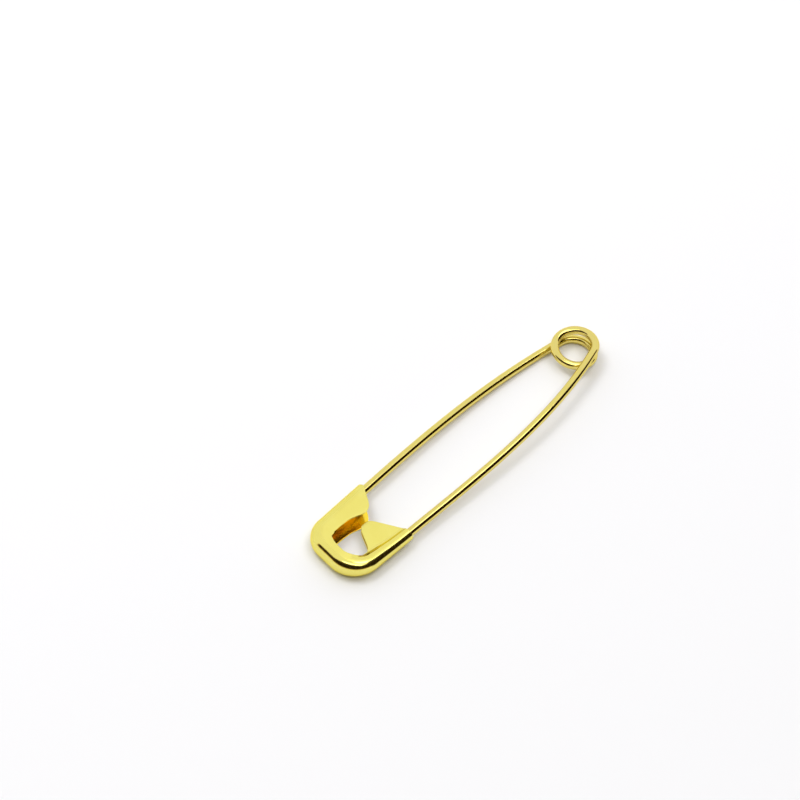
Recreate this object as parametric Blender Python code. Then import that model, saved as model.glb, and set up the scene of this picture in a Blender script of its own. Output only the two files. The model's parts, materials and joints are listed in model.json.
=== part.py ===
"""Safety pin: a stamped sheet cap, crimped on one end of a wire that is coiled once and a half into a spring.

The pin lies on its side. +X runs from the spring coil to the cap, +Y from the pin arm to the fixed arm, and
+Z is up. The origin is under the middle of the pin, on the surface that it lies on. Lengths are in metres.
"""

import math

import bmesh
import bpy
from mathutils import Vector

# Whole pin
OVERALL_LENGTH = 0.0542
WIRE_DIAMETER = 0.0012
WIRE_JOINT_GAP = 0.0001

# Spring coil
COIL_MEAN_RADIUS = 0.0028
COIL_HEIGHT = 0.0036
COIL_OFFSET_Y = -0.00022
FIXED_ARM_LEAVE_ANGLE = math.radians(14.75)
PIN_ARM_LEAVE_ANGLE = math.radians(9.8)
EXTRA_COIL_TURNS = 1
COIL_LEVEL_SHARE = 0.15
COIL_POINTS_PER_TURN = 24

# Cap: its outline seen from above, as a line with two rounded corners
CAP_THICKNESS = 0.00305
SHEET_THICKNESS = 0.00022
CLASP_MOUTH_X = 0.01535
CLASP_MOUTH_Y = -0.00557
CLASP_SIDE_SLOPE = math.radians(1.5)
CRIMP_END_X = 0.01615
CRIMP_END_Y = 0.00528
CRIMP_SIDE_SLOPE = math.radians(-1.6)
CROWN_SLOPE = math.radians(85.0)
CLASP_CORNER_RADIUS = 0.0036
CRIMP_CORNER_RADIUS = 0.0043

# Cap: how far the sheet reaches in from the outline
MOUTH_LIP_WIDTH = 0.0009
SHOULDER_STATION = 0.0018
SHOULDER_WIDTH = 0.00365
NOSE_STATION = 0.0025
NOSE_LENGTH = 0.0009
NOSE_WIDTH = 0.0041
NECK_STATION = 0.0054
NECK_WIDTH = 0.00332
WAIST_STATION = 0.0072
WAIST_WIDTH = 0.00317
HEEL_BEFORE_CROWN = 0.0017
HEEL_WIDTH = 0.0031
CROWN_WIDTH = 0.00217
CROWN_WIDTH_DELAY = 0.0009
BACK_PLATE_EXTRA_WIDTH = 0.00045
EDGE_ROUNDING = 0.0005

# Cap: the crimped tube and the guard tab
CRIMP_WIRE_CLEARANCE = 0.0001
CRIMP_SLEEVE_LENGTH = 0.0005
PINCH_START_SHARE = 1 / 3
TAB_THICKNESS_OVER_BOTH = 0.0008
TAB_TIP_STATION = 0.0024
TAB_TIP_LENGTH = 0.0017
TAB_REACH = 0.0059
TAB_FOOT_STATION = 0.0058
TAB_FOOT_WIDTH = 0.00245

# Wire inside the cap
PIN_POINT_X = 0.0242
PIN_POINT_Y = -0.00423
PIN_POINT_ANGLE = math.radians(2.0)
PIN_POINT_TAPER = 0.0046
PIN_POINT_RADIUS = 0.00008
FIXED_HOOK_OVER_CROWN_SHARE = 0.6

# Mesh fineness
WIRE_SIDE_RESOLUTION = 4
ARM_POINTS = 26
HOOK_POINTS = 22
TAPER_POINTS = 7
CAP_STATIONS = 76
RIM_STEPS = 8
PLATE_STEPS = 4
ROUNDING_SAMPLES = 9
HANDLE_SHARE = 1 / 3

GOLD_COLOUR = (0.82, 0.66, 0.20, 1.0)
GOLD_ROUGHNESS = 0.16

WIRE_RADIUS = WIRE_DIAMETER / 2
MID_Z = CAP_THICKNESS / 2
COIL_CENTRE_X = -OVERALL_LENGTH / 2 + COIL_MEAN_RADIUS + WIRE_RADIUS
COIL_CENTRE = Vector((COIL_CENTRE_X, COIL_OFFSET_Y, COIL_HEIGHT / 2))
COIL_DROP = COIL_HEIGHT - WIRE_DIAMETER
COIL_START_ANGLE = math.pi / 2 + FIXED_ARM_LEAVE_ANGLE
COIL_END_ANGLE = math.pi * 3 / 2 - PIN_ARM_LEAVE_ANGLE + math.tau * EXTRA_COIL_TURNS
RIM_RADIUS = CAP_THICKNESS / 2
CRIMP_RADIUS = WIRE_RADIUS + CRIMP_WIRE_CLEARANCE + SHEET_THICKNESS
TAB_HALF_HEIGHT = TAB_THICKNESS_OVER_BOTH / 2


def remove_all_objects():
    for old in list(bpy.data.objects):
        bpy.data.objects.remove(old, do_unlink=True)


def make_gold(name):
    """Bright yellow plating, one material for each piece."""
    material = bpy.data.materials.new(name)
    material.use_nodes = True
    shader = material.node_tree.nodes["Principled BSDF"]
    shader.inputs["Base Color"].default_value = GOLD_COLOUR
    shader.inputs["Metallic"].default_value = 1.0
    shader.inputs["Roughness"].default_value = GOLD_ROUGHNESS
    return material


def direction(angle):
    """Unit vector in the plane of the pin."""
    return Vector((math.cos(angle), math.sin(angle), 0))


def left_of(vector):
    return Vector((-vector.y, vector.x, 0))


def ease(share):
    """Smooth step from 0 to 1 with level ends."""
    share = min(max(share, 0), 1)
    return share * share * (3 - 2 * share)


class Line:
    """Straight stretch of the cap's outline."""

    def __init__(self, start, end):
        self.start = start
        self.length = (end - start).length
        self.heading = (end - start).normalized()

    def point(self, distance):
        return self.start + self.heading * distance

    def forward(self, distance):
        return self.heading


class Corner:
    """Round stretch of the cap's outline that turns left."""

    def __init__(self, start, heading, radius, turn):
        self.centre = start + left_of(heading) * radius
        self.start_angle = math.atan2(-left_of(heading).y, -left_of(heading).x)
        self.radius = radius
        self.length = radius * turn

    def point(self, distance):
        return self.centre + direction(self.start_angle + distance / self.radius) * self.radius

    def forward(self, distance):
        return left_of(direction(self.start_angle + distance / self.radius))


def crossing(point_a, heading_a, point_b, heading_b):
    """Where two lines in the plane of the pin meet."""
    offset = point_b - point_a
    spread = heading_a.x * heading_b.y - heading_a.y * heading_b.x
    return point_a + heading_a * ((offset.x * heading_b.y - offset.y * heading_b.x) / spread)


class Outline:
    """Outer edge of the cap, from the clasp mouth over the crown to the crimp end, at mid height."""

    def __init__(self):
        mouth = Vector((CLASP_MOUTH_X, CLASP_MOUTH_Y, MID_Z))
        crimp_end = Vector((CRIMP_END_X, CRIMP_END_Y, MID_Z))
        clasp_way = direction(CLASP_SIDE_SLOPE)
        crown_way = direction(CROWN_SLOPE)
        crimp_way = direction(math.pi + CRIMP_SIDE_SLOPE)
        clasp_turn = CROWN_SLOPE - CLASP_SIDE_SLOPE
        crimp_turn = math.pi + CRIMP_SIDE_SLOPE - CROWN_SLOPE
        clasp_setback = CLASP_CORNER_RADIUS * math.tan(clasp_turn / 2)
        crimp_setback = CRIMP_CORNER_RADIUS * math.tan(crimp_turn / 2)
        # The crimp corner's arc reaches the pin's far end where it runs along +Y
        crimp_side = Line(crimp_end, crimp_end - crimp_way * OVERALL_LENGTH)
        inner_line_start = crimp_side.start + left_of(crimp_way) * CRIMP_CORNER_RADIUS
        arc_centre_x = OVERALL_LENGTH / 2 - CRIMP_CORNER_RADIUS
        across = Vector((arc_centre_x, 0, MID_Z))
        arc_centre = crossing(inner_line_start, crimp_way, across, direction(math.pi / 2))
        crown_end = arc_centre - left_of(crown_way) * CRIMP_CORNER_RADIUS
        clasp_vertex = crossing(mouth, clasp_way, crown_end, crown_way)
        crimp_vertex = crown_end + crown_way * crimp_setback
        clasp_corner_start = clasp_vertex - clasp_way * clasp_setback
        crown_start = clasp_vertex + crown_way * clasp_setback
        self.stretches = (
            Line(mouth, clasp_corner_start),
            Corner(clasp_corner_start, clasp_way, CLASP_CORNER_RADIUS, clasp_turn),
            Line(crown_start, crown_end),
            Corner(crown_end, crown_way, CRIMP_CORNER_RADIUS, crimp_turn),
            Line(crimp_vertex + crimp_way * crimp_setback, crimp_end),
        )
        self.length = sum(stretch.length for stretch in self.stretches)
        self.crown_start = self.stretches[0].length + self.stretches[1].length
        self.crown_end = self.crown_start + self.stretches[2].length
        self.crimp_side_start = self.crown_end + self.stretches[3].length

    def locate(self, distance):
        for stretch in self.stretches:
            if distance <= stretch.length:
                return stretch, distance
            distance -= stretch.length
        return self.stretches[-1], self.stretches[-1].length

    def point(self, distance):
        stretch, rest = self.locate(distance)
        return stretch.point(rest)

    def inward(self, distance):
        stretch, rest = self.locate(distance)
        return left_of(stretch.forward(rest))


OUTLINE = Outline()
PINCH_START = OUTLINE.crown_end + (OUTLINE.crimp_side_start - OUTLINE.crown_end) * PINCH_START_SHARE
PINCH_END = OUTLINE.length - TAB_FOOT_STATION + EDGE_ROUNDING
SLEEVE_START = OUTLINE.length - CRIMP_SLEEVE_LENGTH


def rim_radius(distance):
    """Radius of the rolled rim: the cap's half thickness, drawn in to the crimped tube on the fixed side."""
    share = ease((distance - OUTLINE.crown_end) / (SLEEVE_START - OUTLINE.crown_end))
    return RIM_RADIUS + (CRIMP_RADIUS - RIM_RADIUS) * share


def plate_half_height(distance):
    """Half the thickness over both plates, which are pressed together where they become the guard tab."""
    share = ease((distance - PINCH_START) / (PINCH_END - PINCH_START))
    return rim_radius(distance) * (1 - share) + TAB_HALF_HEIGHT * share


def tube_width(radius, half_height):
    """Reach of the rolled rim in from the outline, up to where the flat plate begins."""
    return radius + math.sqrt(max(radius * radius - half_height * half_height, 0))


def key_width(distance):
    """Reach of the front of the sheet in from the outline, before its corners are rounded."""
    from_crimp = OUTLINE.length - distance
    keys = (
        (0, MOUTH_LIP_WIDTH),
        (SHOULDER_STATION, SHOULDER_WIDTH),
        (NOSE_STATION, NOSE_WIDTH),
        (NOSE_STATION + NOSE_LENGTH, NOSE_WIDTH),
        (NECK_STATION, NECK_WIDTH),
        (WAIST_STATION, WAIST_WIDTH),
        (OUTLINE.crown_start - HEEL_BEFORE_CROWN, HEEL_WIDTH),
        (OUTLINE.crown_start + CROWN_WIDTH_DELAY, CROWN_WIDTH),
        (OUTLINE.crown_end, CROWN_WIDTH),
    )
    tab_keys = (
        (0, tube_width(CRIMP_RADIUS, TAB_HALF_HEIGHT)),
        (TAB_TIP_STATION, TAB_REACH),
        (TAB_TIP_STATION + TAB_TIP_LENGTH, TAB_REACH),
        (TAB_FOOT_STATION, TAB_FOOT_WIDTH),
        (OUTLINE.length - OUTLINE.crown_end, CROWN_WIDTH),
    )
    if distance < OUTLINE.crown_end:
        return between(keys, distance)
    return between(tab_keys, from_crimp)


def between(keys, value):
    """Straight-line reading between key pairs."""
    if value <= keys[0][0]:
        return keys[0][1]
    for (low, low_width), (high, high_width) in zip(keys, keys[1:]):
        if value <= high:
            return low_width + (high_width - low_width) * (value - low) / (high - low)
    return keys[-1][1]


def sheet_width(distance):
    """Reach of the sheet with its corners rounded, by averaging over a short stretch."""
    half = ROUNDING_SAMPLES // 2
    room = min(EDGE_ROUNDING, distance, OUTLINE.length - distance)
    total = sum(key_width(distance + room * step / half) for step in range(-half, half + 1))
    return total / ROUNDING_SAMPLES


def back_extra_width(distance):
    """How much further the back plate reaches in than the front plate, along the clasp side."""
    rise = ease(distance / NECK_STATION)
    fall = ease((OUTLINE.crown_start - distance) / (OUTLINE.crown_start - WAIST_STATION))
    return BACK_PLATE_EXTRA_WIDTH * rise * fall


def half_section(distance, width):
    """Outer face of half the cap's section: distances in from the outline, and heights off mid height."""
    radius = rim_radius(distance)
    half_height = plate_half_height(distance)
    rim_reach = tube_width(radius, half_height)
    end_turn = math.acos(max(1 - min(width, rim_reach) / radius, -1))
    points = []
    for step in range(RIM_STEPS + 1):
        turn = end_turn * step / RIM_STEPS
        points.append((radius * (1 - math.cos(turn)), radius * math.sin(turn)))
    last_in, last_up = points[-1]
    plate = max(width - rim_reach, SHEET_THICKNESS / PLATE_STEPS)
    for step in range(1, PLATE_STEPS + 1):
        points.append((last_in + plate * step / PLATE_STEPS, last_up))
    return points


def cap_point(distance, profile_step):
    """Place of a grid point: steps run from the back plate's edge round the rim to the front plate's edge."""
    half_steps = RIM_STEPS + PLATE_STEPS
    side = 1 if profile_step >= half_steps else -1
    width = sheet_width(distance)
    if side < 0:
        width += back_extra_width(distance)
    inset, height = half_section(distance, width)[abs(profile_step - half_steps)]
    place = OUTLINE.point(distance) + OUTLINE.inward(distance) * inset
    place.z = MID_Z + side * height
    return place


def make_clasp_cap():
    """One sheet, rolled over a U-shaped rim, opened for the pin's point and crimped round the fixed arm."""
    profile_steps = 2 * (RIM_STEPS + PLATE_STEPS)
    bm = bmesh.new()
    bmesh.ops.create_grid(bm, x_segments=CAP_STATIONS, y_segments=profile_steps, size=OUTLINE.length / 2)
    for vertex in bm.verts:
        distance = OUTLINE.length / 2 + vertex.co.x
        profile_step = round(profile_steps * (1 / 2 + vertex.co.y / OUTLINE.length))
        vertex.co = cap_point(distance, profile_step)
    for edge in bm.edges:
        edge.smooth = not edge.is_boundary
    mesh = bpy.data.meshes.new("clasp_cap")
    bm.to_mesh(mesh)
    bm.free()
    cap = bpy.data.objects.new("clasp_cap", mesh)
    bpy.context.collection.objects.link(cap)
    sheet = cap.modifiers.new("sheet thickness", "SOLIDIFY")
    sheet.thickness = SHEET_THICKNESS
    sheet.offset = -1
    sheet.use_even_offset = True
    mesh.shade_smooth()
    mesh.materials.append(make_gold("cap_gold"))
    return cap


def make_wire(name, points, radii, material_name, origin=None):
    """Round wire along points, closed at both ends, with its origin at the given place."""
    origin = origin or Vector((0, 0, 0))
    curve = bpy.data.curves.new(name, "CURVE")
    curve.dimensions = "3D"
    curve.bevel_depth = WIRE_RADIUS
    curve.bevel_resolution = WIRE_SIDE_RESOLUTION
    curve.use_fill_caps = True
    curve.twist_mode = "MINIMUM"
    spline = curve.splines.new("POLY")
    spline.points.add(len(points) - 1)
    for spline_point, place, radius in zip(spline.points, points, radii):
        spline_point.co = (*(place - origin), 1)
        spline_point.radius = radius / WIRE_RADIUS
    curve.materials.append(make_gold(material_name))
    wire = bpy.data.objects.new(name, curve)
    wire.location = origin
    bpy.context.collection.objects.link(wire)
    return wire


def bent_run(start, start_way, end, end_way, count):
    """Points on one smooth bend that leaves and arrives in the given directions."""
    handle = (end - start).length * HANDLE_SHARE
    first = start + start_way * handle
    second = end - end_way * handle
    points = []
    for step in range(count + 1):
        t = step / count
        u = 1 - t
        points.append(start * u ** 3 + first * 3 * u * u * t + second * 3 * u * t * t + end * t ** 3)
    return points


def drop_share(share):
    """Drop along the coil: level at its two ends, and steady in between."""
    if share < COIL_LEVEL_SHARE:
        return share * share / (2 * COIL_LEVEL_SHARE * (1 - COIL_LEVEL_SHARE))
    if share > 1 - COIL_LEVEL_SHARE:
        return 1 - drop_share(1 - share)
    return (share - COIL_LEVEL_SHARE / 2) / (1 - COIL_LEVEL_SHARE)


def coil_point(share):
    """Centre of the wire along the coil, from the fixed arm at the top to the pin arm at the bottom."""
    angle = COIL_START_ANGLE + (COIL_END_ANGLE - COIL_START_ANGLE) * share
    drop = COIL_DROP * drop_share(share)
    return COIL_CENTRE + direction(angle) * COIL_MEAN_RADIUS + Vector((0, 0, COIL_DROP / 2 - drop))


FIXED_WAY = direction(FIXED_ARM_LEAVE_ANGLE)
PIN_WAY = direction(-PIN_ARM_LEAVE_ANGLE)
FIXED_ARM_START = coil_point(0) + FIXED_WAY * (WIRE_DIAMETER + WIRE_JOINT_GAP)
PIN_ARM_START = coil_point(1) + PIN_WAY * (WIRE_DIAMETER + WIRE_JOINT_GAP)


def least_self_gap(points, skipped_length):
    """Least clear gap between stretches of a wire that are further apart along it than the skipped length."""
    along = [0]
    for first, second in zip(points, points[1:]):
        along.append(along[-1] + (second - first).length)
    gaps = [
        (points[i] - points[j]).length - WIRE_DIAMETER
        for i in range(len(points))
        for j in range(i)
        if along[i] - along[j] > skipped_length
    ]
    return min(gaps)


def make_spring_coil():
    """One and a half turns of wire, straight for one wire diameter where it meets each arm."""
    turns = (COIL_END_ANGLE - COIL_START_ANGLE) / math.tau
    count = round(COIL_POINTS_PER_TURN * turns)
    points = [coil_point(0) + FIXED_WAY * WIRE_DIAMETER]
    points += [coil_point(step / count) for step in range(count + 1)]
    points.append(coil_point(1) + PIN_WAY * WIRE_DIAMETER)
    gap = least_self_gap(points, math.pi * COIL_MEAN_RADIUS)
    print(f"spring_coil least gap to itself: {gap / WIRE_DIAMETER:.3f} wire diameters, {gap:.6f} m")
    return make_wire("spring_coil", points, [WIRE_RADIUS] * len(points), "coil_gold", COIL_CENTRE)


def make_fixed_arm():
    """Bowed arm that runs into the crimped tube, and whose end hooks round inside the crown."""
    hook_length = OUTLINE.length - OUTLINE.crown_end
    hook_length += (OUTLINE.crown_end - OUTLINE.crown_start) * FIXED_HOOK_OVER_CROWN_SHARE
    hook = []
    for step in range(HOOK_POINTS + 1):
        distance = OUTLINE.length - hook_length * step / HOOK_POINTS
        hook.append(OUTLINE.point(distance) + OUTLINE.inward(distance) * rim_radius(distance))
    crimp_way = direction(CRIMP_SIDE_SLOPE)
    points = bent_run(FIXED_ARM_START, FIXED_WAY, hook[0], crimp_way, ARM_POINTS) + hook[1:]
    return make_wire("fixed_arm", points, [WIRE_RADIUS] * len(points), "fixed_arm_gold")


def make_pin_arm():
    """Bowed arm that ends in the point, with its origin on the axis of the coil."""
    tip = Vector((PIN_POINT_X, PIN_POINT_Y, MID_Z))
    tip_way = direction(PIN_POINT_ANGLE)
    shoulder = tip - tip_way * PIN_POINT_TAPER
    points = bent_run(PIN_ARM_START, PIN_WAY, shoulder, tip_way, ARM_POINTS)
    radii = [WIRE_RADIUS] * len(points)
    for step in range(1, TAPER_POINTS + 1):
        share = step / TAPER_POINTS
        points.append(shoulder + tip_way * PIN_POINT_TAPER * share)
        radii.append(WIRE_RADIUS + (PIN_POINT_RADIUS - WIRE_RADIUS) * share)
    return make_wire("pin_arm", points, radii, "pin_arm_gold", COIL_CENTRE)


def make_pivot(pieces):
    """Empty on the coil's axis, which carries the pieces that turn about it."""
    pivot = bpy.data.objects.new("coil_axis", None)
    pivot.location = COIL_CENTRE
    pivot.empty_display_size = COIL_MEAN_RADIUS
    bpy.context.collection.objects.link(pivot)
    for piece in pieces:
        piece.parent = pivot
        piece.location = (0, 0, 0)


def main():
    remove_all_objects()
    make_clasp_cap()
    make_fixed_arm()
    make_pivot((make_spring_coil(), make_pin_arm()))


main()
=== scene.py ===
"""Finished look of a gold safety pin that lies closed on a white table.

The cap is pressed from one sheet, and the wire is drawn, bowed and coiled. +X runs from the spring coil to
the cap, +Y from the pin arm to the fixed arm, and +Z is up. Lengths are in metres.
"""

import json
import math

import bmesh
import bpy
from bpy.props import FloatProperty, FloatVectorProperty, PointerProperty
from mathutils import Matrix, Vector


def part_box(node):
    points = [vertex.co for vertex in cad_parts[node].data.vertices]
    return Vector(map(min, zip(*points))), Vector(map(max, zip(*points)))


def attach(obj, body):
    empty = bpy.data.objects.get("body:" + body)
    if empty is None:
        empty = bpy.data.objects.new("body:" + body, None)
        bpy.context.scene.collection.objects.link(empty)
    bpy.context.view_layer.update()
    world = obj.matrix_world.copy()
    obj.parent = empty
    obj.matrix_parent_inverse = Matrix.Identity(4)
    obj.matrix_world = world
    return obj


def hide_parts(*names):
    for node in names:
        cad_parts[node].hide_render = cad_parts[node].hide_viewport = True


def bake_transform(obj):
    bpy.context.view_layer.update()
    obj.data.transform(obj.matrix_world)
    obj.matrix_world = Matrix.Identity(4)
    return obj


bl_info = {
    "name": "Safety Pin",
    "version": (1, 0, 0),
    "blender": (4, 5, 0),
    "location": "View3D > Sidebar > Safety Pin",
    "description": "Makes a coiled wire safety pin with a stamped cap, and its table and light",
    "category": "Add Mesh",
}

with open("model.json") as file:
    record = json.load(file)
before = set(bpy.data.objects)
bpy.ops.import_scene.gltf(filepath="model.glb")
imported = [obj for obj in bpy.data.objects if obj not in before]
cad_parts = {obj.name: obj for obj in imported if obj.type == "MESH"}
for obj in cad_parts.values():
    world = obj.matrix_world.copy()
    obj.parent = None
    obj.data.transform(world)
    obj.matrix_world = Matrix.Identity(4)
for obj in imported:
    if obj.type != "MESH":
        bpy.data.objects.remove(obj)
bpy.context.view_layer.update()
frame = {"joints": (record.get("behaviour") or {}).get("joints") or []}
CAP_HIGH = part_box("clasp_cap")[1]
HINGE = Vector(frame["joints"][0]["pos_m"])

# Fineness of the meshes
WIRE_SIDES = 40
ARM_STEPS = 110
HOOK_STEPS = 60
TAPER_STEPS = 24
COIL_STEPS = 190
CAP_STATIONS = 330
CAP_PROFILE_STEPS = 72
ROUNDING_SAMPLES = 25
FOLD_SAMPLES = 9

# Fine pattern of the plating: texture scales are in waves a metre, and heights in metres
GLANCING_TINT = (1.0, 0.88, 0.45, 1)
CLOUD_SCALE = 420.0
MARK_SCALE = 9000.0
MARK_LOW = 0.3
MARK_HIGH = 0.7
MARK_HEIGHT = 0.000004
MARK_FAINTNESS = 6
SMOOTHER_BY = 0.03
ROUGHER_BY = 0.04
WAVE_HEIGHT = 0.00002
NEARLY_FLAT = 0.96
FLAT = 0.999

# Dark shade, from the faint edge of its veil at 0 to its middle at 1
FRINGE_START = 0.25
FRINGE_AMBER = (0.6, 0.34, 0.08, 1)
FRINGE_END = 0.8
SHADE_BLACK = (0.02, 0.012, 0.004, 1)
SOLID_FROM = 0.3


# Sizes and colours that a user can change


class PinWireSizes(bpy.types.PropertyGroup):
    """Sizes of the bowed and coiled wire."""

    diameter: FloatProperty(
        name="Wire Diameter",
        description="Thickness of the wire",
        default=0.0012,
        min=0.0002,
        unit="LENGTH",
    )
    coil_radius: FloatProperty(
        name="Coil Radius",
        description="From the coil's axis to the middle of its wire",
        default=0.0028,
        unit="LENGTH",
    )
    coil_height: FloatProperty(
        name="Coil Height", description="Height over all the coil's turns", default=0.0036, unit="LENGTH"
    )
    coil_level_share: FloatProperty(
        name="Level Share",
        description="Share of the coil at each end that comes in level",
        default=0.15,
        subtype="FACTOR",
    )
    fixed_leave: FloatProperty(
        name="Fixed Arm Angle",
        description="Slope of the fixed arm at the coil",
        default=math.radians(14.75),
        unit="ROTATION",
    )
    pin_leave: FloatProperty(
        name="Pin Arm Angle",
        description="Slope of the pin arm at the coil",
        default=math.radians(9.8),
        unit="ROTATION",
    )
    point_length: FloatProperty(
        name="Point Length", description="Length of the ground point", default=0.0046, unit="LENGTH"
    )
    point_radius: FloatProperty(
        name="Point Radius", description="Radius of the very tip", default=0.00007, unit="LENGTH"
    )
    bend_length: FloatProperty(
        name="Springing Length",
        description="Length of arm that bends when the pin is squeezed",
        default=0.012,
        unit="LENGTH",
    )


class PinCapSizes(bpy.types.PropertyGroup):
    """Sizes of the stamped cap."""

    thickness: FloatProperty(
        name="Cap Thickness",
        description="Thickness over both plates at the clasp side",
        default=CAP_HIGH.z,
        unit="LENGTH",
    )
    sheet: FloatProperty(
        name="Sheet Thickness", description="Thickness of the sheet", default=0.00022, unit="LENGTH"
    )
    edge_round: FloatProperty(
        name="Edge Round", description="Rounding of the sheet's cut edges", default=0.0001, unit="LENGTH"
    )
    clasp_corner: FloatProperty(
        name="Clasp Corner",
        description="Outer corner radius on the clasp side",
        default=0.0036,
        unit="LENGTH",
    )
    crimp_corner: FloatProperty(
        name="Crimp Corner",
        description="Outer corner radius on the fixed side",
        default=0.0043,
        unit="LENGTH",
    )
    crown_width: FloatProperty(
        name="Crown Width",
        description="Width of the sheet round the crown",
        default=0.00217,
        unit="LENGTH",
    )
    nose_width: FloatProperty(
        name="Nose Width",
        description="Width of the clasp plate at its nose",
        default=0.0041,
        unit="LENGTH",
    )
    neck_width: FloatProperty(
        name="Neck Width",
        description="Width of the clasp plate behind its nose",
        default=0.00332,
        unit="LENGTH",
    )
    waist_width: FloatProperty(
        name="Waist Width", description="Least width of the clasp plate", default=0.00317, unit="LENGTH"
    )
    heel_width: FloatProperty(
        name="Heel Width",
        description="Width of the clasp plate in the corner",
        default=0.0031,
        unit="LENGTH",
    )
    back_extra: FloatProperty(
        name="Back Plate Extra",
        description="How much further the back plate reaches in",
        default=0.00045,
        unit="LENGTH",
    )
    mouth_lip: FloatProperty(
        name="Mouth Lip",
        description="Width of the sheet at the clasp's mouth",
        default=0.0009,
        unit="LENGTH",
    )
    tab_reach: FloatProperty(
        name="Tab Reach",
        description="Reach of the guard tab from the cap's outer edge",
        default=0.0059,
        unit="LENGTH",
    )
    tab_thickness: FloatProperty(
        name="Tab Thickness",
        description="Thickness over both plates of the guard tab",
        default=0.0008,
        unit="LENGTH",
    )
    fold_radius: FloatProperty(
        name="Fold Radius",
        description="Half length of the soft fold beside the crimped tube",
        default=0.00022,
        unit="LENGTH",
    )
    corner_rounding: FloatProperty(
        name="Corner Rounding",
        description="Half length over which plate corners are rounded",
        default=0.0005,
        unit="LENGTH",
    )


class GoldFinish(bpy.types.PropertyGroup):
    """Colours and polish of the plating."""

    pale: FloatVectorProperty(
        name="Pale Gold",
        description="Plating where it is brightest",
        size=3,
        subtype="COLOR",
        default=(0.86, 0.79, 0.22),
    )
    deep: FloatVectorProperty(
        name="Deep Gold",
        description="Plating where it is thickest",
        size=3,
        subtype="COLOR",
        default=(0.80, 0.70, 0.15),
    )
    # Painted reflection: this warmer amber on the cap's inner faces stands in for the gold mirroring
    # itself inside the hollow cap.
    amber: FloatVectorProperty(
        name="Painted Inner Reflection",
        description="Amber painted inside the cap for its reflections of itself",
        size=3,
        subtype="COLOR",
        default=(1.0, 0.74, 0.06),
    )
    wire_pale: FloatVectorProperty(
        name="Pale Wire",
        description="Wire where it is brightest",
        size=3,
        subtype="COLOR",
        default=(0.80, 0.70, 0.23),
    )
    wire_deep: FloatVectorProperty(
        name="Deep Wire",
        description="Wire where its plating is thickest",
        size=3,
        subtype="COLOR",
        default=(0.74, 0.60, 0.16),
    )
    sheet_roughness: FloatProperty(
        name="Sheet Roughness",
        description="Roughness of the pressed sheet",
        default=0.13,
        min=0,
        max=1,
        subtype="FACTOR",
    )
    plate_satin: FloatProperty(
        name="Plate Satin",
        description="Roughness that the flat plates have more than the rim",
        default=0.22,
        min=0,
        max=1,
    )
    wire_roughness: FloatProperty(
        name="Wire Roughness",
        description="Roughness of the drawn wire",
        default=0.09,
        min=0,
        max=1,
        subtype="FACTOR",
    )


class StudioSettings(bpy.types.PropertyGroup):
    """Camera, light and table."""

    elevation: FloatProperty(
        name="Elevation",
        description="Camera's height angle",
        default=math.radians(52.01),
        unit="ROTATION",
    )
    heading: FloatProperty(
        name="Heading",
        description="Camera's direction round the pin",
        default=math.radians(37.122),
        unit="ROTATION",
    )
    roll: FloatProperty(
        name="Roll",
        description="Camera's turn about its own line of sight",
        default=math.radians(6.629),
        unit="ROTATION",
    )
    distance: FloatProperty(
        name="Distance",
        description="From the camera to its aim on the table",
        default=0.34918,
        unit="LENGTH",
    )
    field_of_view: FloatProperty(
        name="Field of View", description="Width of the view", default=math.radians(18), unit="ROTATION"
    )
    world_strength: FloatProperty(
        name="World Strength", description="Light that comes from all round", default=1.0, min=0
    )
    lamp_radiance: FloatProperty(
        name="Lamp Radiance", description="Brightness of the two soft lamps overhead", default=2.4, min=0
    )
    side_radiance: FloatProperty(
        name="Side Lamp Radiance",
        description="Brightness of the lamp that casts the shadow",
        default=5.9,
        min=0,
    )
    shade_low: FloatProperty(
        name="Shade Top",
        description="Angle from overhead where the dark shade starts",
        default=math.radians(25.5),
        unit="ROTATION",
    )
    shade_high: FloatProperty(
        name="Shade Foot",
        description="Angle from overhead where the dark shade ends",
        default=math.radians(90),
        unit="ROTATION",
    )
    shade_left: FloatProperty(
        name="Shade Left",
        description="Reach of the shade to the left of the camera",
        default=math.radians(80),
        unit="ROTATION",
    )
    shade_right: FloatProperty(
        name="Shade Right",
        description="Reach of the shade to the right of the camera",
        default=math.radians(116),
        unit="ROTATION",
    )


# Lines, corners and ways in the plane of the pin


def direction(angle):
    """Unit vector in the plane of the pin."""
    return Vector((math.cos(angle), math.sin(angle), 0))


def left_of(vector):
    return Vector((-vector.y, vector.x, 0))


def ease(share):
    """Smooth step from 0 to 1 with level ends."""
    share = min(max(share, 0), 1)
    return share * share * (3 - 2 * share)


def between(keys, value):
    """Straight-line reading between key pairs."""
    if value <= keys[0][0]:
        return keys[0][1]
    for (low, low_reading), (high, high_reading) in zip(keys, keys[1:]):
        if value <= high:
            return low_reading + (high_reading - low_reading) * (value - low) / (high - low)
    return keys[-1][1]


def crossing(point_a, heading_a, point_b, heading_b):
    """Where two lines in the plane of the pin meet."""
    offset = point_b - point_a
    spread = heading_a.x * heading_b.y - heading_a.y * heading_b.x
    return point_a + heading_a * ((offset.x * heading_b.y - offset.y * heading_b.x) / spread)


class Line:
    """Straight stretch of the cap's outline."""

    def __init__(self, start, end):
        self.start = start
        self.length = (end - start).length
        self.heading = (end - start).normalized()

    def point(self, distance):
        return self.start + self.heading * distance

    def forward(self, distance):
        return self.heading


class Corner:
    """Round stretch of the cap's outline that turns left."""

    def __init__(self, start, heading, radius, turn):
        self.centre = start + left_of(heading) * radius
        self.start_angle = math.atan2(-left_of(heading).y, -left_of(heading).x)
        self.radius = radius
        self.length = radius * turn

    def point(self, distance):
        return self.centre + direction(self.start_angle + distance / self.radius) * self.radius

    def forward(self, distance):
        return left_of(direction(self.start_angle + distance / self.radius))


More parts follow.
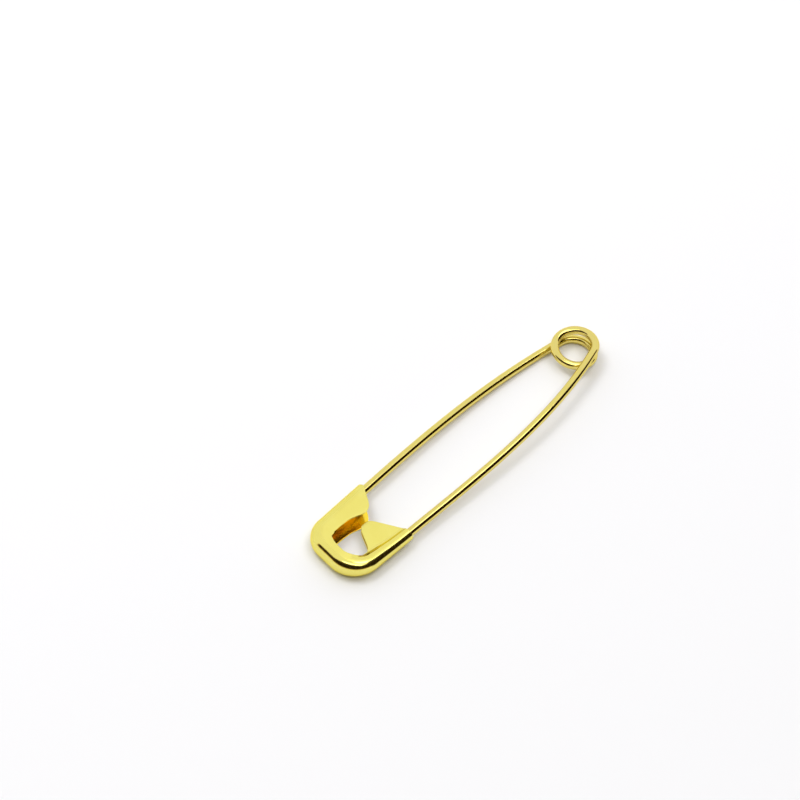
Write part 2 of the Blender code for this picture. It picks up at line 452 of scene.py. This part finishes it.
class CapForm:
    """Outline and section of the cap, from the clasp mouth over the crown to the crimp end."""

    mouth = Vector((0.01535, -0.00557, 0))
    crimp_end = Vector((0.01615, 0.00528, 0))
    clasp_slope = math.radians(1.5)
    crown_slope = math.radians(85)
    crimp_slope = math.radians(-1.6)
    shoulder_station = 0.0018
    shoulder_width = 0.00365
    nose_start = 0.0025
    nose_end = 0.0034
    neck_station = 0.0054
    waist_station = 0.0072
    heel_before_crown = 0.0017
    crown_delay = 0.0009
    crimp_clearance = 0.0001
    sleeve_length = 0.0005
    pinch_start_share = 1 / 3
    tab_tip_station = 0.0024
    tab_tip_length = 0.0017
    tab_foot_station = 0.0058
    tab_foot_width = 0.00245
    least_plate_share = 1 / 4

    def __init__(self, cap, wire):
        self.cap = cap
        self.crimp_radius = wire.diameter / 2 + self.crimp_clearance + cap.sheet
        clasp_way = direction(self.clasp_slope)
        crown_way = direction(self.crown_slope)
        crimp_way = direction(math.pi + self.crimp_slope)
        clasp_turn = self.crown_slope - self.clasp_slope
        crimp_turn = math.pi + self.crimp_slope - self.crown_slope
        clasp_setback = cap.clasp_corner * math.tan(clasp_turn / 2)
        crimp_setback = cap.crimp_corner * math.tan(crimp_turn / 2)
        inner_start = self.crimp_end + left_of(crimp_way) * cap.crimp_corner
        far_line = Vector((CAP_HIGH.x - cap.crimp_corner, 0, 0))
        arc_centre = crossing(inner_start, crimp_way, far_line, direction(math.pi / 2))
        crown_end = arc_centre - left_of(crown_way) * cap.crimp_corner
        clasp_vertex = crossing(self.mouth, clasp_way, crown_end, crown_way)
        crimp_vertex = crown_end + crown_way * crimp_setback
        clasp_corner_start = clasp_vertex - clasp_way * clasp_setback
        crown_start = clasp_vertex + crown_way * clasp_setback
        self.stretches = (
            Line(self.mouth, clasp_corner_start),
            Corner(clasp_corner_start, clasp_way, cap.clasp_corner, clasp_turn),
            Line(crown_start, crown_end),
            Corner(crown_end, crown_way, cap.crimp_corner, crimp_turn),
            Line(crimp_vertex + crimp_way * crimp_setback, self.crimp_end),
        )
        self.length = sum(stretch.length for stretch in self.stretches)
        self.crown_start = self.stretches[0].length + self.stretches[1].length
        self.crown_end = self.crown_start + self.stretches[2].length
        self.crimp_start = self.crown_end + self.stretches[3].length
        self.pinch_start = self.crown_end + (self.crimp_start - self.crown_end) * self.pinch_start_share
        self.pinch_end = self.length - self.tab_foot_station + cap.corner_rounding
        self.width_keys, self.tab_keys = self.make_width_keys()

    def make_width_keys(self):
        """Reach of the sheet at stations from the clasp's mouth, and at stations from the crimp end."""
        cap = self.cap
        keys = (
            (0, cap.mouth_lip),
            (self.shoulder_station, self.shoulder_width),
            (self.nose_start, cap.nose_width),
            (self.nose_end, cap.nose_width),
            (self.neck_station, cap.neck_width),
            (self.waist_station, cap.waist_width),
            (self.crown_start - self.heel_before_crown, cap.heel_width),
            (self.crown_start + self.crown_delay, cap.crown_width),
            (self.crown_end, cap.crown_width),
        )
        tab_keys = (
            (0, self.tube_reach(self.crimp_radius, cap.tab_thickness / 2)),
            (self.tab_tip_station, cap.tab_reach),
            (self.tab_tip_station + self.tab_tip_length, cap.tab_reach),
            (self.tab_foot_station, self.tab_foot_width),
            (self.length - self.crown_end, cap.crown_width),
        )
        return keys, tab_keys

    def locate(self, distance):
        for stretch in self.stretches:
            if distance <= stretch.length:
                return stretch, distance
            distance -= stretch.length
        return self.stretches[-1], self.stretches[-1].length

    def point(self, distance):
        stretch, rest = self.locate(distance)
        return stretch.point(rest) + Vector((0, 0, self.cap.thickness / 2))

    def inward(self, distance):
        stretch, rest = self.locate(distance)
        return left_of(stretch.forward(rest))

    def rim_radius(self, distance):
        """Radius of the rolled rim, which is drawn in to the crimped tube on the fixed side."""
        share = ease((distance - self.crown_end) / (self.length - self.sleeve_length - self.crown_end))
        full = self.cap.thickness / 2
        return full + (self.crimp_radius - full) * share

    def plate_height(self, distance):
        """Half the thickness over both plates, which are pressed together at the guard tab."""
        share = ease((distance - self.pinch_start) / (self.pinch_end - self.pinch_start))
        return self.rim_radius(distance) * (1 - share) + self.cap.tab_thickness / 2 * share

    def tube_reach(self, radius, half_height):
        """Reach of the rolled rim in from the outline, up to where the flat plate begins."""
        return radius + math.sqrt(max(radius * radius - half_height * half_height, 0))

    def raw_width(self, distance):
        if distance < self.crown_end:
            return between(self.width_keys, distance)
        return between(self.tab_keys, self.length - distance)

    def width(self, distance):
        """Reach of the sheet in from the outline, with its plate corners rounded."""
        half = ROUNDING_SAMPLES // 2
        room = min(self.cap.corner_rounding, distance, self.length - distance)
        total = sum(self.raw_width(distance + room * step / half) for step in range(-half, half + 1))
        return total / ROUNDING_SAMPLES

    def back_extra_width(self, distance):
        """How much further the back plate reaches in than the front plate."""
        rise = ease(distance / self.neck_station)
        fall = ease((self.crown_start - distance) / (self.crown_start - self.waist_station))
        return self.cap.back_extra * rise * fall

    def section(self, distance, share):
        """Radius of the rim, its turn up to the plate and the plate's reach beyond it, at one station."""
        radius = self.rim_radius(distance)
        width = self.width(distance)
        if share < 0:
            width += self.back_extra_width(distance)
        rim_reach = self.tube_reach(radius, self.plate_height(distance))
        turn = math.acos(max(1 - min(width, rim_reach) / radius, -1))
        return radius, turn, max(width - rim_reach, self.cap.sheet * self.least_plate_share)

    def raw_section_point(self, radius, turn, reach):
        """Inset and height of a place on the sheet, a given way along it from the rim's middle."""
        side = 1 if reach >= 0 else -1
        reach = abs(reach)
        here = min(reach / radius, turn)
        inset = radius * (1 - math.cos(here)) + max(reach - radius * turn, 0)
        return inset, side * radius * math.sin(here)

    def sheet_point(self, distance, share):
        """Place on the sheet's outer face; share is -1 at the back plate's edge and 1 at the front's."""
        radius, turn, plate = self.section(distance, share)
        total = radius * turn + plate
        reach = total * share
        room = min(self.cap.fold_radius, total - abs(reach))
        half = FOLD_SAMPLES // 2
        inset = height = 0
        for step in range(-half, half + 1):
            near = self.raw_section_point(radius, turn, reach + room * step / half)
            inset += near[0] / FOLD_SAMPLES
            height += near[1] / FOLD_SAMPLES
        return self.point(distance) + self.inward(distance) * inset + Vector((0, 0, height))


# Shaping


def show_mesh(bm, name, material):
    """Object at the origin that shows the shaped mesh."""
    mesh = bpy.data.meshes.new(name)
    bm.to_mesh(mesh)
    bm.free()
    mesh.materials.append(material)
    piece = bpy.data.objects.new(name, mesh)
    bpy.context.scene.collection.objects.link(piece)
    return piece


def ways_along(places):
    """Heading of a wire at each of its places."""
    ways = []
    for index in range(len(places)):
        before = places[max(index - 1, 0)]
        after = places[min(index + 1, len(places) - 1)]
        ways.append((after - before).normalized())
    return ways


def ring_frames(places, radii):
    """Matrix that carries a unit ring to each place, square to the wire and without twist."""
    ways = ways_along(places)
    turn = Vector((0, 0, 1)).rotation_difference(ways[0])
    frames = []
    for index, (place, way, radius) in enumerate(zip(places, ways, radii)):
        if index:
            turn = ways[index - 1].rotation_difference(way) @ turn
        frames.append(Matrix.LocRotScale(place, turn, Vector((radius, radius, radius))))
    return frames


def draw_wire(name, places, radii, material, along=0):
    """Round wire: a ring that is extruded from each place to the next and closed at both ends."""
    bm = bmesh.new()
    grain = bm.verts.layers.float_vector.new("wire_grain")
    frames = ring_frames(places, radii)
    ring = bmesh.ops.create_circle(bm, segments=WIRE_SIDES, radius=1)["verts"]
    for vertex in ring:
        vertex[grain] = Vector((vertex.co.x * radii[0], vertex.co.y * radii[0], along))
    edges = list(bm.edges)
    bmesh.ops.transform(bm, matrix=frames[0], verts=ring)
    end_edges = list(edges)
    for before, after, from_place, to_place in zip(frames, frames[1:], places, places[1:]):
        along += (to_place - from_place).length
        grown = bmesh.ops.extrude_edge_only(bm, edges=edges)["geom"]
        ring = [part for part in grown if isinstance(part, bmesh.types.BMVert)]
        edges = [part for part in grown if isinstance(part, bmesh.types.BMEdge)]
        bmesh.ops.transform(bm, matrix=after @ before.inverted(), verts=ring)
        for vertex in ring:
            vertex[grain].z = along
    end_edges += edges
    for face in bm.faces:
        face.smooth = True
    for edge in end_edges:
        edge.smooth = False
    bmesh.ops.edgeloop_fill(bm, edges=end_edges)
    bmesh.ops.recalc_face_normals(bm, faces=bm.faces)
    return show_mesh(bm, name, material)


def bent_run(start, start_way, end, end_way, count):
    """Places on a smooth bend with the given end ways, whose handles are a third of its span."""
    handle = (end - start).length / 3
    first = start + start_way * handle
    second = end - end_way * handle
    places = []
    for step in range(count + 1):
        t = step / count
        u = 1 - t
        places.append(start * u ** 3 + first * 3 * u * u * t + second * 3 * u * t * t + end * t ** 3)
    return places


class CoilForm:
    """Way of the wire round the coil, from the fixed arm at the top to the pin arm at the bottom."""

    extra_turns = 1

    def __init__(self, wire):
        self.wire = wire
        self.centre = HINGE
        self.start = math.pi / 2 + wire.fixed_leave
        self.end = math.pi * 3 / 2 - wire.pin_leave + math.tau * self.extra_turns
        self.fixed_way = direction(wire.fixed_leave)
        self.pin_way = direction(-wire.pin_leave)
        self.fixed_seam = self.point(0) + self.fixed_way * wire.diameter
        self.pin_seam = self.point(1) + self.pin_way * wire.diameter

    def drop_share(self, share):
        """Drop along the coil: level at its two ends, and steady in between."""
        level = self.wire.coil_level_share
        if share < level:
            return share * share / (2 * level * (1 - level))
        if share > 1 - level:
            return 1 - self.drop_share(1 - share)
        return (share - level / 2) / (1 - level)

    def point(self, share):
        angle = self.start + (self.end - self.start) * share
        drop = self.wire.coil_height - self.wire.diameter
        height = drop / 2 - drop * self.drop_share(share)
        return self.centre + direction(angle) * self.wire.coil_radius + Vector((0, 0, height))


# Finishes


def add_node(tree, kind, sockets=(), **settings):
    """Shader node with the given settings and input values."""
    node = tree.nodes.new(kind)
    for name, value in settings.items():
        setattr(node, name, value)
    for name, value in dict(sockets).items():
        node.inputs[name].default_value = value
    return node


def add_noise(tree, place, scale, detail, roughness):
    """Noise texture that reads the given place."""
    sockets = {"Scale": scale, "Detail": detail, "Roughness": roughness}
    noise = add_node(tree, "ShaderNodeTexNoise", sockets)
    tree.links.new(place, noise.inputs["Vector"])
    return noise.outputs["Fac"]


def pattern_place(tree, grain):
    """Where a pattern is read: along the named grain, or in the piece's own space."""
    if grain:
        return add_node(tree, "ShaderNodeAttribute", attribute_name=grain).outputs["Vector"]
    return add_node(tree, "ShaderNodeTexCoord").outputs["Object"]


def satin_on_flats(tree, polish, satin):
    """Roughness that rises where the sheet lies flat, because pressing polishes only the rolled rim."""
    link = tree.links.new
    normal = add_node(tree, "ShaderNodeTexCoord").outputs["Normal"]
    split = add_node(tree, "ShaderNodeSeparateXYZ")
    link(normal, split.inputs["Vector"])
    slope = add_node(tree, "ShaderNodeMath", operation="ABSOLUTE")
    link(split.outputs["Z"], slope.inputs["Value"])
    span = {"From Min": NEARLY_FLAT, "From Max": FLAT, "To Max": satin}
    flats = add_node(tree, "ShaderNodeMapRange", span, interpolation_type="SMOOTHSTEP")
    link(slope.outputs["Value"], flats.inputs["Value"])
    total = add_node(tree, "ShaderNodeMath", operation="ADD")
    link(flats.outputs["Result"], total.inputs[0])
    link(polish, total.inputs[1])
    return total.outputs["Value"]


def plated_gold(name, colours, roughness, unevenness, wave_scale, grain=None, stretch=(1, 1, 1), satin=0):
    """Bright gold plating: faint clouds of paler gold, hair-fine marks and a slightly uneven polish."""
    material = bpy.data.materials.new(name)
    material.use_nodes = True
    tree = material.node_tree
    link = tree.links.new
    shader = tree.nodes["Principled BSDF"]
    shader.inputs["Metallic"].default_value = 1.0
    shader.inputs["Specular Tint"].default_value = GLANCING_TINT
    shader.inputs["Roughness"].default_value = roughness
    place = pattern_place(tree, grain)

    clouds = add_noise(tree, place, CLOUD_SCALE, detail=3.0, roughness=0.55)
    tone = add_node(tree, "ShaderNodeMix", data_type="RGBA")
    tone.inputs["A"].default_value = (*colours[0], 1)
    tone.inputs["B"].default_value = (*colours[1], 1)
    link(clouds, tone.inputs["Factor"])
    link(tone.outputs["Result"], shader.inputs["Base Color"])

    stretched = add_node(tree, "ShaderNodeMapping", {"Scale": stretch})
    link(place, stretched.inputs["Vector"])
    marks = add_noise(tree, stretched.outputs["Vector"], MARK_SCALE, detail=2.0, roughness=0.6)
    span = {"From Min": MARK_LOW, "From Max": MARK_HIGH}
    span.update({"To Min": roughness - SMOOTHER_BY, "To Max": roughness + ROUGHER_BY})
    polish = add_node(tree, "ShaderNodeMapRange", span)
    link(marks, polish.inputs["Value"])
    sheen = polish.outputs["Result"]
    if satin:
        sheen = satin_on_flats(tree, sheen, satin)
    link(sheen, shader.inputs["Roughness"])

    waves = add_noise(tree, place, wave_scale, detail=1.0, roughness=0.5)
    soft = add_node(tree, "ShaderNodeBump", {"Strength": unevenness, "Distance": WAVE_HEIGHT})
    link(waves, soft.inputs["Height"])
    faint = unevenness / MARK_FAINTNESS
    fine = add_node(tree, "ShaderNodeBump", {"Strength": faint, "Distance": MARK_HEIGHT})
    link(marks, fine.inputs["Height"])
    link(soft.outputs["Normal"], fine.inputs["Normal"])
    link(fine.outputs["Normal"], shader.inputs["Normal"])
    return material


def wire_gold():
    """Plating of the wire, whose marks are drawn out along it."""
    made = bpy.data.materials.get("drawn_gold_wire")
    finish = bpy.context.scene.safety_pin_finish
    return made or plated_gold(
        "drawn_gold_wire",
        (finish.wire_deep, finish.wire_pale),
        finish.wire_roughness,
        unevenness=0.02,
        wave_scale=500.0,
        grain="wire_grain",
        stretch=(1, 1, 0.04),
    )


def sheet_gold(name, colours, satin):
    """Plating of the pressed sheet, which is more uneven than the wire."""
    roughness = bpy.context.scene.safety_pin_finish.sheet_roughness
    return plated_gold(name, colours, roughness, unevenness=0.5, wave_scale=350.0, satin=satin)


def table_white(name):
    """Matt white that keeps the shadows."""
    material = bpy.data.materials.new(name)
    material.use_nodes = True
    shader = material.node_tree.nodes["Principled BSDF"]
    shader.inputs["Base Color"].default_value = (0.905, 0.909, 0.93, 1)
    shader.inputs["Roughness"].default_value = 0.9
    shader.inputs["Specular IOR Level"].default_value = 0.1
    return material


def dark_veil(name):
    """Warm black with an amber fringe, clear where its veil attribute falls to nothing."""
    material = bpy.data.materials.new(name)
    material.use_nodes = True
    tree = material.node_tree
    link = tree.links.new
    shader = tree.nodes["Principled BSDF"]
    shader.inputs["Base Color"].default_value = (0, 0, 0, 1)
    shader.inputs["Roughness"].default_value = 1.0
    shader.inputs["Specular IOR Level"].default_value = 0.0
    shader.inputs["Emission Strength"].default_value = 1.0
    veil = add_node(tree, "ShaderNodeAttribute", attribute_name="veil").outputs["Fac"]
    fringe = add_node(tree, "ShaderNodeValToRGB")
    edge, middle = fringe.color_ramp.elements
    edge.position, edge.color = FRINGE_START, FRINGE_AMBER
    middle.position, middle.color = FRINGE_END, SHADE_BLACK
    link(veil, fringe.inputs["Fac"])
    link(fringe.outputs["Color"], shader.inputs["Emission Color"])
    solid = add_node(tree, "ShaderNodeMapRange", {"From Max": SOLID_FROM})
    link(veil, solid.inputs["Value"])
    link(solid.outputs["Result"], shader.inputs["Alpha"])
    return material


# Operators


class SAFETYPIN_OT_stamped_cap(bpy.types.Operator):
    """Press the cap from one sheet: rolled rim, clasp plates, crown, crimped tube and guard tab"""

    bl_idname = "safety_pin.stamped_cap"
    bl_label = "Stamped Cap"

    def execute(self, context):
        sizes = context.scene.safety_pin_cap
        finish = context.scene.safety_pin_finish
        form = CapForm(sizes, context.scene.safety_pin_wire)
        bm = bmesh.new()
        bmesh.ops.create_grid(bm, x_segments=CAP_STATIONS, y_segments=CAP_PROFILE_STEPS, size=1 / 2)
        for vertex in bm.verts:
            vertex.co = form.sheet_point(form.length * (vertex.co.x + 1 / 2), vertex.co.y * 2)
        for face in bm.faces:
            face.smooth = True
        outside = sheet_gold("pressed_gold_sheet", (finish.deep, finish.pale), finish.plate_satin)
        cap = show_mesh(bm, "stamped_cap", outside)
        # The inner faces take the amber as a painted reflection, which stands in for the gold reflecting
        # itself inside the cap.
        cap.data.materials.append(sheet_gold("painted_reflection_inner_sheet", (finish.amber, finish.amber), 0))
        wall = cap.modifiers.new("Sheet", "SOLIDIFY")
        wall.material_offset = 1
        wall.thickness = sizes.sheet
        wall.offset = -1
        wall.use_even_offset = True
        edges = cap.modifiers.new("Cut Edges", "BEVEL")
        edges.width = sizes.edge_round
        edges.segments = 2
        edges.limit_method = "ANGLE"
        edges.angle_limit = math.radians(50)
        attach(cap, "clasp")
        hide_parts("clasp_cap")
        return {"FINISHED"}


class SAFETYPIN_OT_fixed_arm(bpy.types.Operator):
    """Draw the bowed arm that is crimped in the cap, with its end hooked round inside the crown"""

    bl_idname = "safety_pin.fixed_arm"
    bl_label = "Fixed Arm"

    hook_over_crown = 0.6

    def execute(self, context):
        wire = context.scene.safety_pin_wire
        coil = CoilForm(wire)
        form = CapForm(context.scene.safety_pin_cap, wire)
        hook_length = form.length - form.crown_end
        hook_length += (form.crown_end - form.crown_start) * self.hook_over_crown
        hook = []
        for step in range(HOOK_STEPS + 1):
            distance = form.length - hook_length * step / HOOK_STEPS
            hook.append(form.point(distance) + form.inward(distance) * form.rim_radius(distance))
        bow = bent_run(coil.fixed_seam, coil.fixed_way, hook[0], direction(form.crimp_slope), ARM_STEPS)
        places = bow + hook[1:]
        arm = draw_wire("bowed_fixed_arm", places, [wire.diameter / 2] * len(places), wire_gold())
        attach(arm, "clasp")
        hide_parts("fixed_arm")
        return {"FINISHED"}


class SAFETYPIN_OT_spring_coil(bpy.types.Operator):
    """Wind the wire about one and a half turns into the spring"""

    bl_idname = "safety_pin.spring_coil"
    bl_label = "Spring Coil"

    # Depth of the coil beside each arm that doesn't twist, in wire diameters
    rigid_depth = 2 / 3

    def execute(self, context):
        wire = context.scene.safety_pin_wire
        form = CoilForm(wire)
        places = [form.fixed_seam]
        places += [form.point(step / COIL_STEPS) for step in range(COIL_STEPS + 1)]
        places.append(form.pin_seam)
        coil = draw_wire("wound_spring_coil", places, [wire.diameter / 2] * len(places), wire_gold())
        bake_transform(coil)
        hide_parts("spring_coil")
        return {"FINISHED"}


class SAFETYPIN_OT_pin_arm(bpy.types.Operator):
    """Draw the bowed arm that ends in the ground point"""

    bl_idname = "safety_pin.pin_arm"
    bl_label = "Pin Arm"

    tip = Vector((0.0242, -0.00423, 0))
    tip_slope = math.radians(2)

    def execute(self, context):
        wire = context.scene.safety_pin_wire
        coil = CoilForm(wire)
        tip = self.tip + Vector((0, 0, context.scene.safety_pin_cap.thickness / 2))
        tip_way = direction(self.tip_slope)
        shoulder = tip - tip_way * wire.point_length
        places = bent_run(coil.pin_seam, coil.pin_way, shoulder, tip_way, ARM_STEPS)
        thick = wire.diameter / 2
        radii = [thick] * len(places)
        for step in range(1, TAPER_STEPS + 1):
            share = step / TAPER_STEPS
            places.append(shoulder + tip_way * wire.point_length * share)
            radii.append(thick + (wire.point_radius - thick) * share)
        arm = draw_wire("pointed_arm", places, radii, wire_gold())
        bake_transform(arm)
        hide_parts("pin_arm")
        return {"FINISHED"}


class SAFETYPIN_OT_studio(bpy.types.Operator):
    """Set the white table, the soft light and the camera"""

    bl_idname = "safety_pin.studio"
    bl_label = "Table and Light"

    aim = Vector((-0.0005986, -0.012203, 0))
    table_size = 3.0
    soft_lamps = (
        ("front_lamp", (0.35, 0.08, 0.8), (0.22, 0.7)),
        ("right_lamp", (-0.1, 0.3, 0.8), (0.36, 0.4)),
    )
    side_lamp = ((-0.1, -0.36, 0.8), (0.32, 0.32))
    shade_distance = 0.9
    shade_rows = 50
    shade_columns = 120
    shade_fade = math.radians(7)
    left_top_start = math.radians(15)
    left_top_span = math.radians(60)
    left_top_drop = math.radians(27)
    right_top_span = math.radians(45)
    right_top_end = math.radians(90)
    right_top_fade = math.radians(25)
    right_top_drop = math.radians(8)
    front_foot_drop = math.radians(8)
    front_foot_slope = 0.5
    right_foot_slope = 1.5
    right_foot_start = math.radians(55)
    right_foot_span = math.radians(20)

    def camera_axes(self, studio):
        """Right, up and back axes of the camera."""
        flat = direction(studio.heading) * math.cos(studio.elevation)
        back = flat + Vector((0, 0, math.sin(studio.elevation)))
        right = Vector((0, 0, 1)).cross(back).normalized()
        up = back.cross(right)
        rolled_right = right * math.cos(studio.roll) + up * math.sin(studio.roll)
        rolled_up = up * math.cos(studio.roll) - right * math.sin(studio.roll)
        return rolled_right, rolled_up, back

    def place_camera(self, context, studio):
        right, up, back = self.camera_axes(studio)
        data = bpy.data.cameras.new("camera")
        data.sensor_width = 36
        data.angle = studio.field_of_view
        data.clip_start = 0.01
        data.clip_end = 20
        camera = bpy.data.objects.new("camera", data)
        turn = Matrix((right, up, back)).transposed().to_4x4()
        camera.matrix_world = Matrix.Translation(self.aim + back * studio.distance) @ turn
        context.scene.collection.objects.link(camera)
        context.scene.camera = camera

    def lay_table(self):
        bm = bmesh.new()
        bmesh.ops.create_grid(bm, x_segments=1, y_segments=1, size=self.table_size / 2)
        table = show_mesh(bm, "table", table_white("table_white"))

    def top_drop(self, side):
        """How far the shade's top edge drops away to the left and right of the camera."""
        left = max(-side - self.left_top_start, 0) / self.left_top_span
        right = ease(side / self.right_top_span) * ease((self.right_top_end - side) / self.right_top_fade)
        return self.left_top_drop * left * left + self.right_top_drop * right

    def above_foot(self, studio, side, down):
        """How far a place is above the shade's foot, soft in front, and low and sharp to the right."""
        right = ease((side - self.right_foot_start) / self.right_foot_span)
        slope = self.front_foot_slope + (self.right_foot_slope - self.front_foot_slope) * right
        return (studio.shade_high - self.front_foot_drop * (1 - right) - down) * slope

    def hang_shade(self, studio):
        """Dark shade round the camera: a band of a dome with faded edges, seen only in the plating."""
        bm = bmesh.new()
        start = studio.heading - studio.shade_left
        sweep = studio.shade_left + studio.shade_right
        seed = bm.verts.new(direction(start) * self.shade_distance)
        hinge = left_of(direction(start))
        tilt = Matrix.Rotation(studio.shade_high - math.pi / 2, 3, hinge)
        bmesh.ops.rotate(bm, matrix=tilt, verts=[seed])
        rise = studio.shade_high - studio.shade_low
        bmesh.ops.spin(bm, geom=[seed], axis=hinge, angle=-rise, steps=self.shade_rows)
        arc = bm.verts[:] + bm.edges[:]
        bmesh.ops.spin(bm, geom=arc, axis=(0, 0, 1), angle=sweep, steps=self.shade_columns)
        veil = bm.verts.layers.float.new("veil")
        for vertex in bm.verts:
            down = vertex.co.angle(Vector((0, 0, 1)))
            side = (math.atan2(vertex.co.y, vertex.co.x) - start) % math.tau - studio.shade_left
            below_top = down - studio.shade_low - self.top_drop(side)
            inside = min(side + studio.shade_left, studio.shade_right - side)
            edge = min(below_top, self.above_foot(studio, side, down), inside)
            vertex[veil] = ease(edge / self.shade_fade)
        shade = show_mesh(bm, "dark_shade", dark_veil("shade_black"))
        shade.visible_camera = False
        shade.visible_shadow = False

    def hang_lamp(self, context, name, heading, place, size, radiance):
        """Soft lamp that shines straight down, placed and sized towards the camera and to its right."""
        data = bpy.data.lights.new(name, "AREA")
        data.shape = "RECTANGLE"
        data.size, data.size_y = size
        data.energy = radiance * math.pi * size[0] * size[1]
        lamp = bpy.data.objects.new(name, data)
        lamp.matrix_world = Matrix.Rotation(heading, 4, "Z") @ Matrix.Translation(place)
        context.scene.collection.objects.link(lamp)
        return lamp

    def light_world(self, context, studio):
        """White all round."""
        world = bpy.data.worlds.new("white_room")
        world.use_nodes = True
        background = world.node_tree.nodes["Background"]
        background.inputs["Color"].default_value = (1, 1, 1, 1)
        background.inputs["Strength"].default_value = studio.world_strength
        context.scene.world = world

    def execute(self, context):
        studio = context.scene.safety_pin_studio
        self.place_camera(context, studio)
        self.lay_table()
        self.light_world(context, studio)
        for name, place, size in self.soft_lamps:
            self.hang_lamp(context, name, studio.heading, place, size, studio.lamp_radiance)
        side = self.hang_lamp(context, "side_lamp", studio.heading, *self.side_lamp, studio.side_radiance)
        side.visible_glossy = False
        self.hang_shade(studio)
        context.scene.view_settings.view_transform = "Standard"
        return {"FINISHED"}


class SAFETYPIN_PT_sidebar(bpy.types.Panel):
    """Makes the pin's pieces and lists their sizes"""

    bl_idname = "SAFETYPIN_PT_sidebar"
    bl_label = "Safety Pin"
    bl_space_type = "VIEW_3D"
    bl_region_type = "UI"
    bl_category = "Safety Pin"

    def draw(self, context):
        column = self.layout.column()
        for operator in OPERATORS:
            column.operator(operator.bl_idname)
        for name in SETTINGS:
            group = getattr(context.scene, name)
            box = self.layout.box()
            for prop in group.bl_rna.properties:
                if not prop.is_readonly and prop.identifier != "name":
                    box.prop(group, prop.identifier)


OPERATORS = (
    SAFETYPIN_OT_stamped_cap,
    SAFETYPIN_OT_fixed_arm,
    SAFETYPIN_OT_spring_coil,
    SAFETYPIN_OT_pin_arm,
    SAFETYPIN_OT_studio,
)
SETTINGS = {
    "safety_pin_wire": PinWireSizes,
    "safety_pin_cap": PinCapSizes,
    "safety_pin_finish": GoldFinish,
    "safety_pin_studio": StudioSettings,
}


def register():
    for group in SETTINGS.values():
        bpy.utils.register_class(group)
    for name, group in SETTINGS.items():
        setattr(bpy.types.Scene, name, PointerProperty(type=group))
    for operator in OPERATORS:
        bpy.utils.register_class(operator)
    bpy.utils.register_class(SAFETYPIN_PT_sidebar)


def unregister():
    bpy.utils.unregister_class(SAFETYPIN_PT_sidebar)
    for operator in reversed(OPERATORS):
        bpy.utils.unregister_class(operator)
    for name in SETTINGS:
        delattr(bpy.types.Scene, name)
    for group in SETTINGS.values():
        bpy.utils.unregister_class(group)


def main():
    register()
    bpy.ops.safety_pin.stamped_cap()
    bpy.ops.safety_pin.fixed_arm()
    bpy.ops.safety_pin.spring_coil()
    bpy.ops.safety_pin.pin_arm()
    bpy.ops.safety_pin.studio()


if __name__ == "__main__":
    main()
